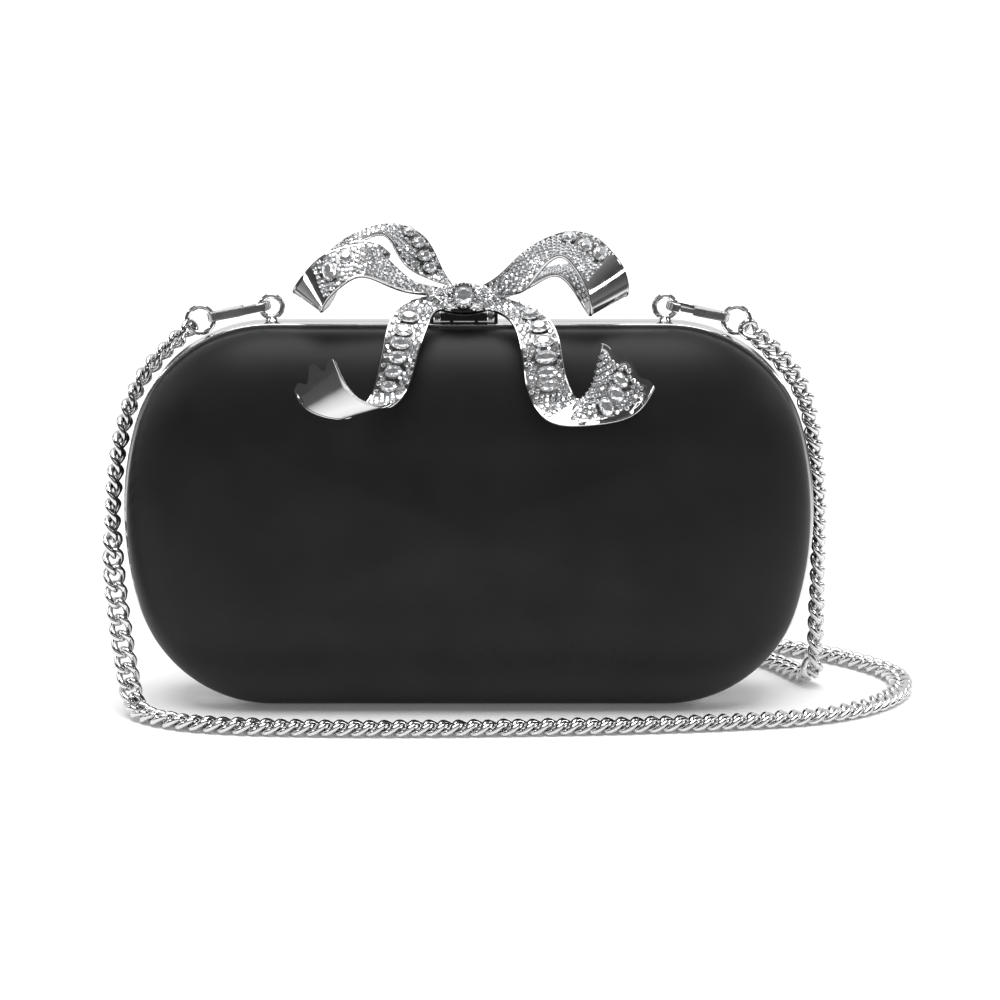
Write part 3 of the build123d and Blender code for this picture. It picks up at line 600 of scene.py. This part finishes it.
class Ribbon:
    """A metal ribbon between two smooth edges. Places on it are shares along and across."""

    def __init__(self, stations):
        edges = np.array(stations, float)
        steps = np.linalg.norm(np.diff(edges, axis=0), axis=2).mean(axis=1)
        self.knots = np.concatenate([[0], np.cumsum(steps)])
        self.edges = edges.reshape(len(edges), 6)
        count, gaps = len(edges), np.diff(self.knots)
        matrix, right = np.zeros((count, count)), np.zeros((count, 6))
        matrix[0, 0] = matrix[-1, -1] = 1
        for i in range(1, count - 1):
            matrix[i, i - 1 : i + 2] = gaps[i - 1], 2 * (gaps[i - 1] + gaps[i]), gaps[i]
            right[i] = 6 * (
                (self.edges[i + 1] - self.edges[i]) / gaps[i]
                - (self.edges[i] - self.edges[i - 1]) / gaps[i - 1]
            )
        self.bends = np.linalg.solve(matrix, right)
        self.length = self.knots[-1]

    def edge_points(self, along):
        place = np.atleast_1d(along) * self.length
        i = np.clip(np.searchsorted(self.knots, place, side="right") - 1, 0, len(self.knots) - 2)
        gap = (self.knots[i + 1] - self.knots[i])[:, None]
        a = (self.knots[i + 1] - place)[:, None]
        b = (place - self.knots[i])[:, None]
        both = (
            self.bends[i] * a**3 / (6 * gap)
            + self.bends[i + 1] * b**3 / (6 * gap)
            + (self.edges[i] / gap - self.bends[i] * gap / 6) * a
            + (self.edges[i + 1] / gap - self.bends[i + 1] * gap / 6) * b
        )
        return both[:, :3], both[:, 3:]

    def point(self, along, across):
        near, far = self.edge_points(along)
        across = np.atleast_1d(across)[:, None]
        return near * (1 - across) + far * across

    def axes(self, along, across):
        """The directions across the ribbon, along it and out of its face."""
        step = 1e-3
        ahead = np.atleast_1d(along) + step
        behind = np.maximum(np.atleast_1d(along) - step, 0)
        forward = unit(self.point(ahead, across) - self.point(behind, across))
        near, far = self.edge_points(along)
        sideways = unit(far - near)
        out = unit(np.cross(forward, sideways))
        return sideways, np.cross(out, sideways), out

    def width(self, along):
        near, far = self.edge_points(along)
        return np.linalg.norm(far - near, axis=1)


def ribbon_body(name, ribbon, bed_front, bed_back, notch=None, steps=150):
    """The metal of a ribbon: polished, rounded edges, and a sunk bed wherever stones are set.

    bed_front and bed_back give, for a place on the ribbon, whether that face is sunk there."""
    rows = []
    for along in np.linspace(0, 1, steps + 1):
        width = float(ribbon.width(along)[0])
        edge = [(a, h, h) for a, h in EDGE_COLUMNS]
        inner = []
        for offset in np.linspace(BED_START, width - BED_START, BED_COLUMNS):
            front, back = (
                HALF_THICKNESS - FACE_DROP - BED_DROP * bed(along, offset / width)
                for bed in (bed_front, bed_back)
            )
            inner.append((offset, front, back))
        other = [(width - a, h, h) for a, h in EDGE_COLUMNS[::-1]]
        columns = edge + inner + other
        across = np.array([c[0] / width for c in columns])
        place = np.full(len(across), along)
        if notch:
            cut = np.array([notch(v) for v in across])
            beyond = along - (1 - END_SHARE)
            place = along - max(beyond, 0) * cut / END_SHARE
        points = ribbon.point(place, across)
        out = ribbon.axes(place, across)[2]
        top = points + out * np.array([c[1] for c in columns])[:, None]
        under = points - out * np.array([c[2] for c in columns])[:, None]
        rows.append(np.vstack([top, under[-2:0:-1]]))
    count = len(rows[0])
    columns = count // 2 + 1
    faces, bed_faces = [], []
    for row in range(len(rows) - 1):
        for i in range(count):
            k = (i + 1) % count
            a, b = row * count, (row + 1) * count
            faces.append((a + i, b + i, b + k, a + k))
            column = i if i < columns - 1 else count - i - 1
            inside = len(EDGE_COLUMNS) <= column < len(EDGE_COLUMNS) + BED_COLUMNS - 1
            bed = bed_front if i < columns - 1 else bed_back
            middle = (column - len(EDGE_COLUMNS) + 0.5) / (BED_COLUMNS - 1)
            if inside and bed((row + 0.5) / steps, middle) > 0.5:
                bed_faces.append(len(faces) - 1)
    for row, flip in ((0, False), (len(rows) - 1, True)):
        base = row * count
        for i in range(columns - 1):
            under_a = (count - i) % count
            under_b = count - i - 1
            face = (base + i, base + i + 1, base + under_b, base + under_a)
            face = tuple(dict.fromkeys(face))
            faces.append(face[::-1] if flip else face)
    piece = mesh_object(name, np.vstack(rows), faces, sharp=38)
    piece.data.materials.append(chrome)
    piece.data.materials.append(pave_metal)
    for face in bed_faces:
        piece.data.polygons[face].material_index = 1
    return piece


def cut_stone():
    """A brilliant cut crown of unit radius: table, stars, kites and girdle facets."""
    girdle = [(math.cos(k * math.pi / 8), math.sin(k * math.pi / 8), 0.0) for k in range(16)]
    middle = [
        (0.79 * math.cos((k + 0.5) * math.pi / 4), 0.79 * math.sin((k + 0.5) * math.pi / 4), 0.62)
        for k in range(8)
    ]
    table = [
        (0.52 * math.cos(k * math.pi / 4), 0.52 * math.sin(k * math.pi / 4), 1.0) for k in range(8)
    ]
    foot = [(0.8 * x, 0.8 * y, -0.7) for x, y, z in girdle]
    points = np.array(girdle + middle + table + foot)
    faces = [tuple(24 + k for k in range(8))]
    for k in range(8):
        after, before = (k + 1) % 8, (k - 1) % 8
        faces.append((24 + k, 16 + k, 24 + after))
        faces.append((24 + k, 16 + before, 2 * k))
        faces.append((24 + k, 2 * k, 16 + k))
        faces.append((16 + k, 2 * k, 2 * k + 1))
        faces.append((16 + k, 2 * k + 1, (2 * k + 2) % 16))
    for k in range(16):
        after = (k + 1) % 16
        faces.append((k, 32 + k, 32 + after, after))
    return points, faces


def small_stone(sides=8):
    """A tiny round stone: girdle and table."""
    turns = [2 * math.pi * k / sides for k in range(sides)]
    ring = [(math.cos(turn), math.sin(turn)) for turn in turns]
    points = [(x, y, -0.5) for x, y in ring] + [(x, y, 0.05) for x, y in ring]
    points += [(0.58 * x, 0.58 * y, 0.55) for x, y in ring]
    faces = [tuple(2 * sides + k for k in range(sides))]
    for k in range(sides):
        after = (k + 1) % sides
        faces.append((k, after, sides + after, sides + k))
        faces.append((sides + k, sides + after, 2 * sides + after, 2 * sides + k))
    return np.array(points), faces


def bead(rings=4, sides=7):
    """A rounded grain of metal."""
    points, faces = [(0, 0, 1)], []
    for ring in range(1, rings):
        polar = math.pi * ring / rings
        for k in range(sides):
            angle, reach = 2 * math.pi * k / sides, math.sin(polar)
            points.append((reach * math.cos(angle), reach * math.sin(angle), math.cos(polar)))
    points.append((0, 0, -1))
    for k in range(sides):
        after = (k + 1) % sides
        faces.append((0, 1 + k, 1 + after))
        for ring in range(rings - 2):
            a, b = 1 + ring * sides, 1 + (ring + 1) * sides
            faces.append((a + k, b + k, b + after, a + after))
        last = 1 + (rings - 2) * sides
        faces.append((len(points) - 1, last + after, last + k))
    return np.array(points, float), faces


def collet(sides=24):
    """The thin metal wall round a large stone, of unit radius."""
    points, faces = [], []
    profile = ((1.0, -1.0), (1.06, -1.0), (1.08, 0.05), (1.0, 0.12), (0.97, 0.0))
    for k in range(sides):
        angle = 2 * math.pi * k / sides
        for radius, height in profile:
            points.append((radius * math.cos(angle), radius * math.sin(angle), height))
    size = len(profile)
    for k in range(sides):
        after = (k + 1) % sides
        for i in range(size):
            j = (i + 1) % size
            faces.append((k * size + i, after * size + i, after * size + j, k * size + j))
    return np.array(points), faces


BRILLIANT = cut_stone()
SMALL = small_stone()
GRAIN = bead()
COLLET = collet()
STONE_LIFT = 0.95
STONE_CROWN = 0.95
PAVE_MARGIN = BED_START + 0.45  # from a ribbon's edge to the outermost tiny stone
STONE_GAP = 0.55  # kept between a large stone and the tiny ones
LEAN = 0.16  # the most that a tiny stone leans out of true


def set_large(stones, metal, centre, across, along, out, half_length, half_width, turn=0.0):
    """One large oval stone in its collet, held by four grains."""
    x_axis = across * math.cos(turn) + along * math.sin(turn)
    y_axis = along * math.cos(turn) - across * math.sin(turn)
    seat = centre + out * STONE_LIFT
    stones.add(BRILLIANT, seat, x_axis, y_axis, out, (half_length, half_width, STONE_CROWN))
    metal.add(COLLET, seat, x_axis, y_axis, out, (half_length, half_width, 0.7))
    for k in range(4):
        angle = math.pi / 4 + k * math.pi / 2
        grip = seat + x_axis * half_length * math.cos(angle) + y_axis * half_width * math.sin(angle)
        metal.add(GRAIN, grip + out * 0.15, x_axis, y_axis, out, (0.3, 0.3, 0.42))


def pave(stones, metal, ribbon, face, start, end, large, sparing, chance, pitch=1.42):
    """Rows of tiny stones with grains between them, over one face of a ribbon.

    large lists the big stones' places, which are kept clear, and sparing says where the
    metal is left plain."""
    rows = int(ribbon.length * (end - start) / (pitch * 0.88))
    for row in range(rows + 1):
        along = start + (end - start) * row / rows
        width = float(ribbon.width(along)[0])
        usable = width - 2 * PAVE_MARGIN
        if usable < 0.2:
            continue
        count = max(int(usable / pitch), 1)
        for column in range(count + 1 - row % 2):
            offset = PAVE_MARGIN + usable * (column + 0.5 * (row % 2)) / count
            across = offset / width
            if sparing(along, across):
                continue
            centre = ribbon.point(along, across)[0]
            sideways, forward, out = (axis[0] for axis in ribbon.axes(along, across))
            out = out * face
            if any(
                ((centre - c) @ x / (a + STONE_GAP)) ** 2 + ((centre - c) @ y / (b + STONE_GAP)) ** 2
                < 1
                and abs((centre - c) @ z) < 3
                for c, x, y, z, a, b in large
            ):
                continue
            size = chance.uniform(0.6, 0.72)
            lean = np.array([chance.uniform(-LEAN, LEAN) for _ in range(3)])
            tip = unit(out + lean)
            side = unit(sideways - tip * (sideways @ tip))
            seat = centre + out * (HALF_THICKNESS - 0.12)
            stones.add(SMALL, seat, side, np.cross(tip, side), tip, (size, size, 0.7))
            grain = seat + sideways * 0.5 * pitch + forward * 0.3 * pitch
            metal.add(GRAIN, grain, sideways, forward, out, (0.2, 0.2, 0.4))


def jewelled_ribbon(name, stations, faces, large, notch=None):
    """A whole ribbon: its metal, its large stones and its pavé.

    faces lists (face, start, end, sparing) for each pavé stretch, and large lists
    (face, along, across, half length, half width, turn)."""
    ribbon = Ribbon(stations)
    chance = random.Random(len(name) * 31 + len(stations))

    def sunk(side):
        def depth(along, across):
            share = 0.0
            for face, start, end, sparing in faces:
                if face == side and not sparing(along, across):
                    rise = min((along - start) / 0.008 + 1, (end - along) / 0.008 + 1, 1)
                    share = max(share, min(max(rise, 0), 1))
            return share

        return depth

    body = ribbon_body(f"{name}_metal", ribbon, sunk(1), sunk(-1), notch)
    dress(body, None, "bow", "bow", name)
    stones, metal = Heap(), Heap()
    seats = []
    for face, along, across, half_length, half_width, turn in large:
        centre = ribbon.point(along, across)[0]
        sideways, forward, out = (axis[0] for axis in ribbon.axes(along, across))
        angle = math.radians(turn)
        x_axis = sideways * math.cos(angle) + forward * math.sin(angle)
        y_axis = forward * math.cos(angle) - sideways * math.sin(angle)
        seats.append((centre, x_axis, y_axis, out * face, half_length, half_width))
        size = (half_length, half_width)
        set_large(stones, metal, centre, sideways, forward, out * face, *size, angle)
    cut = stones.piece(f"{name}_large_stones", smooth=False)
    dress(cut, glass, "bow", "stones", f"{name}_stones")
    tiny = Heap()
    for face, start, end, sparing in faces:
        near = [seat for seat, entry in zip(seats, large) if entry[0] == face]
        pave(tiny, metal, ribbon, face, start, end, near, sparing, chance)
    dress(tiny.piece(f"{name}_pave", smooth=False), glass, "bow", "stones")
    dress(metal.piece(f"{name}_settings"), grain_metal, "bow", "bow")


def nowhere(along, across):
    return False


def everywhere(along, across):
    return 1.0


def plain_margin(along, across):
    """Where the right tail's curled end is left without stones: its lower margin and its tips."""
    return across < 0.26 - 0.14 * along or along > 0.975 - right_scallops(across)


LEFT_TAIL_STONES = [
    (1, 0.194, 0.44, 2.7, 1.8, 0),
    (1, 0.262, 0.42, 2.6, 1.7, 0),
    (1, 0.324, 0.44, 2.5, 1.6, 0),
    (1, 0.388, 0.45, 2.4, 1.6, 0),
    (1, 0.451, 0.43, 2.3, 1.5, 0),
    (1, 0.520, 0.43, 2.2, 1.4, 0),
]
RIGHT_TAIL_STONES = [
    (1, 0.195, 0.64, 2.4, 1.7, 0),
    (1, 0.268, 0.62, 2.7, 1.8, 0),
    (1, 0.335, 0.60, 2.8, 1.7, 0),
    (1, 0.400, 0.60, 2.8, 1.7, 0),
    (1, 0.460, 0.58, 2.7, 1.6, 0),
    (1, 0.512, 0.55, 2.7, 1.5, 0),
    (1, 0.809, 0.36, 2.5, 1.8, 0),
    (1, 0.876, 0.46, 2.5, 1.8, 0),
    (1, 0.930, 0.52, 2.3, 1.6, 0),
]
LEFT_LOOP_STONES = [
    (1, 0.276, 0.31, 2.2, 1.9, 0),
    (1, 0.325, 0.47, 3.0, 1.8, 0),
    (-1, 0.820, 0.24, 1.8, 1.45, 0),
    (-1, 0.854, 0.29, 1.9, 1.5, 0),
    (-1, 0.891, 0.36, 1.9, 1.5, 0),
    (-1, 0.929, 0.44, 1.8, 1.5, 0),
]
RIGHT_LOOP_STONES = [
    (-1, 0.314, 0.28, 2.2, 1.9, 0),
    (-1, 0.362, 0.38, 2.2, 1.9, 0),
    (-1, 0.411, 0.28, 2.4, 1.8, 0),
]


def inner_loop():
    """The doubled part inside the left loop, jewelled like the rest."""
    ribbon = Ribbon(LEFT_LOOP_INSIDE)
    body = ribbon_body("left_loop_inner_metal", ribbon, everywhere, everywhere, None, 40)
    dress(body, None, "bow", "bow")
    tiny, grains = Heap(), Heap()
    for face in (1, -1):
        pave(tiny, grains, ribbon, face, 0.03, 0.97, [], nowhere, random.Random(3))
    dress(tiny.piece("left_loop_inner_pave", smooth=False), glass, "bow", "stones")
    dress(grains.piece("left_loop_inner_settings"), grain_metal, "bow", "bow")


def scallops(across, depth, crown):
    """A tail's cut end: three rounded points, the middle one longest, with two hollows between."""
    hollow = (1 - math.cos(5 * math.pi * (across - 0.1))) / 2
    return depth * hollow**1.2 - crown * math.sin(math.pi * across) ** 2


def left_scallops(across):
    return scallops(across, 0.046, 0.035)


def right_scallops(across):
    return scallops(across, 0.02, 0.012)


jewelled_ribbon("left_tail", LEFT_TAIL, [(1, 0.02, 0.66, nowhere)], LEFT_TAIL_STONES, left_scallops)
jewelled_ribbon(
    "right_tail",
    RIGHT_TAIL,
    [(1, 0.02, 0.62, nowhere), (1, 0.69, 0.98, plain_margin)],
    RIGHT_TAIL_STONES,
    right_scallops,
)
jewelled_ribbon(
    "left_loop",
    LEFT_LOOP,
    [(1, 0.02, 0.36, nowhere), (-1, 0.52, 0.98, nowhere)],
    LEFT_LOOP_STONES,
)
inner_loop()
jewelled_ribbon(
    "right_loop",
    RIGHT_LOOP,
    [(-1, 0.02, 0.43, nowhere), (1, 0.62, 0.95, nowhere)],
    RIGHT_LOOP_STONES,
)


# ---------------------------------------------------------------- knot
KNOT = np.array([-1.2, -6.2, 114.6])
KNOT_HALF = 9.0
KNOT_RADIUS = 4.35
KNOT_CLEAR = 3.9  # radius kept free of pavé round the centre stone
RIM_GRAINS = 18
FACING = unit(np.array([0, -0.92, 0.39]))


def knot_point(x, turn, lift=0.0):
    """A point of the spindle: turn is measured from the front up towards the top."""
    radius = KNOT_RADIUS * math.sqrt(max(1 - (x / KNOT_HALF) ** 2, 0))
    out = np.array([0, -math.cos(turn), math.sin(turn)])
    slope = KNOT_RADIUS * x / KNOT_HALF**2 / math.sqrt(max(1 - (x / KNOT_HALF) ** 2, 0.05))
    normal = unit(out + np.array([slope, 0, 0]))
    return KNOT + np.array([x, 0, 0]) + out * radius + normal * lift, normal


def knot_pave():
    stones, metal = Heap(), Heap()
    chance = random.Random(5)
    for row, x in enumerate(np.arange(-8.2, 8.3, 1.1)):
        radius = KNOT_RADIUS * math.sqrt(1 - (x / KNOT_HALF) ** 2)
        step = 1.28 / max(radius, 0.8)
        turn = math.radians(-28) + (row % 2) * step / 2
        while turn < math.radians(150):
            centre, out = knot_point(x, turn, 0.05)
            turn += step
            toward = centre - KNOT
            beside = np.linalg.norm(toward - FACING * (toward @ FACING))
            if beside < KNOT_CLEAR and toward @ FACING > 0:
                continue
            side = unit(np.array([1.0, 0, 0]) - out * out[0])
            lean = unit(out + np.array([chance.uniform(-LEAN, LEAN) for _ in range(3)]))
            side = unit(side - lean * (side @ lean))
            size = chance.uniform(0.5, 0.62)
            stones.add(SMALL, centre, side, np.cross(lean, side), lean, (size, size, 0.55))
            grain = centre + side * 0.62
            metal.add(GRAIN, grain, side, np.cross(out, side), out, (0.19, 0.19, 0.3))
    dress(stones.piece("knot_pave", smooth=False), glass, "bow", "stones")
    return metal


def tube(points, radius, name, sides=10):
    """A rounded rim following the points."""
    points = np.array(points)
    tangents = unit(np.gradient(points, axis=0))
    up = np.array([0, 0, 1.0])
    vertices, faces = [], []
    for point, tangent in zip(points, tangents):
        across = unit(np.cross(tangent, up))
        other = np.cross(across, tangent)
        for k in range(sides):
            angle = 2 * math.pi * k / sides
            vertices.append(point + radius * (math.cos(angle) * across + math.sin(angle) * other))
    for row in range(len(points) - 1):
        for k in range(sides):
            a, b, after = row * sides, (row + 1) * sides, (k + 1) % sides
            faces.append((a + k, a + after, b + after, b + k))
    faces.append(tuple(range(sides)))
    faces.append(tuple((len(points) - 1) * sides + k for k in range(sides))[::-1])
    return mesh_object(name, vertices, faces, sharp=60)


knot_metal = knot_pave()
for sign, name in ((-1, "left"), (1, "right")):
    arch = [knot_point(sign * x, math.radians(-34), 0.1)[0] for x in np.linspace(3.4, 8.5, 16)]
    dress(tube(arch, 0.5, f"knot_{name}_rim"), chrome, "bow", "bow")

stone_side = np.array([1.0, 0, 0])
stone_axes = (stone_side, np.cross(FACING, stone_side), FACING)
stone_seat = KNOT + FACING * 4.3
centre_stone = Heap()
centre_stone.add(BRILLIANT, stone_seat, *stone_axes, (2.9, 2.9, 1.5))
dress(centre_stone.piece("centre_stone", smooth=False), glass, "bow", "stones", "knot_stone")
knot_metal.add(COLLET, stone_seat, *stone_axes, (3.15, 3.15, 1.0))
for k in range(RIM_GRAINS):
    angle = 2 * math.pi * k / RIM_GRAINS
    turned = stone_axes[0] * math.cos(angle) + stone_axes[1] * math.sin(angle)
    seat = stone_seat + turned * 3.3 + FACING * 0.55
    knot_metal.add(GRAIN, seat, turned, np.cross(FACING, turned), FACING, (0.34, 0.42, 0.42))
dress(knot_metal.piece("knot_settings"), grain_metal, "bow", "bow")


# ---------------------------------------------------------------- studio
FLOOR_HALF = 9000
# Where the floor's painted dark reflection begins round the case, and over what distance it fades
# in.
DIM_CENTRE = (0, 0.28, 0)  # metres, as the next pair
DIM_RANGE = (0.42, 0.75)
BEHIND = (-0.1, 0.35)  # how far back a direction points where the room turns from dark to bright


def studio_floor():
    """A wide pale floor. Polished metal sees only its nearer part; beyond it glossy rays meet
    near-black, a painted dark reflection standing in for flags round it.
    """
    material, tree, shader, place = nodes_of("floor_paint", (0.9, 0.9, 0.9), 0.0, 0.85)
    shader.inputs["Specular IOR Level"].default_value = 0.1
    shader.inputs["Emission Color"].default_value = (1, 1, 1, 1)
    shader.inputs["Emission Strength"].default_value = 0.1
    # Glossy rays that reach the floor away from its middle see near-black emission: painted dark
    # reflections in the polished metal.
    ray = tree.nodes.new("ShaderNodeLightPath")
    reach = tree.nodes.new("ShaderNodeVectorMath")
    reach.operation = "DISTANCE"
    reach.inputs[1].default_value = DIM_CENTRE
    tree.links.new(place, reach.inputs[0])
    dim = spread(tree, reach.outputs["Value"], 0.0, 0.93, DIM_RANGE)
    painted_dark_reflection = tree.nodes.new("ShaderNodeMath")
    painted_dark_reflection.operation = "MULTIPLY"
    tree.links.new(dim, painted_dark_reflection.inputs[0])
    tree.links.new(ray.outputs["Is Glossy Ray"], painted_dark_reflection.inputs[1])
    black = tree.nodes.new("ShaderNodeEmission")
    black.inputs["Strength"].default_value = 0.02
    mix = tree.nodes.new("ShaderNodeMixShader")
    output = tree.nodes["Material Output"]
    tree.links.new(painted_dark_reflection.outputs["Value"], mix.inputs["Fac"])
    tree.links.new(shader.outputs["BSDF"], mix.inputs[1])
    tree.links.new(black.outputs["Emission"], mix.inputs[2])
    tree.links.new(mix.outputs["Shader"], output.inputs["Surface"])
    corners = [(x * FLOOR_HALF, y * FLOOR_HALF, 0) for x, y in ((-1, -1), (1, -1), (1, 1), (-1, 1))]
    floor = mesh_object("floor", corners, [(0, 1, 2, 3)])
    floor.data.materials.append(material)


def lamp(name, kind, place, aim, power):
    data = bpy.data.lights.new(name, kind)
    data.energy = power
    holder = bpy.data.objects.new(name, data)
    holder.location = place
    holder.rotation_euler = (Vector(aim) - Vector(place)).to_track_quat("-Z", "Y").to_euler()
    scene.collection.objects.link(holder)
    return data


def softbox(name, place, aim, size, power):
    data = lamp(name, "AREA", place, aim, power)
    data.shape = "RECTANGLE"
    data.size, data.size_y = size


def studio_room():
    """A room that is dark towards the front and bright behind."""
    world = bpy.data.worlds.new("studio")
    world.use_nodes = True
    tree = world.node_tree
    background = tree.nodes["Background"]
    direction = tree.nodes.new("ShaderNodeTexCoord")
    split = tree.nodes.new("ShaderNodeSeparateXYZ")
    tree.links.new(direction.outputs["Generated"], split.inputs["Vector"])
    background.inputs["Color"].default_value = (1, 1, 1, 1)
    wall = spread(tree, split.outputs["Y"], 0.07, 0.9, BEHIND)
    tree.links.new(wall, background.inputs["Strength"])
    scene.world = world


studio_floor()
studio_room()
overhead = lamp("overhead", "SUN", (0.0, -0.35, 1.5), (0, 0, 0), 2.9)
overhead.angle = math.radians(50)
softbox("left_strip", (-1.25, -0.2, 0.74), (0, 0, 0.1), (0.9, 0.12), 2.4)
softbox("right_strip", (1.25, -0.15, 0.68), (0, 0, 0.1), (0.9, 0.12), 2.4)
softbox("front_strip", (0, -1.3, 0.62), (0, 0, 0.1), (2.2, 0.09), 1.8)
scene.view_settings.view_transform = "Standard"
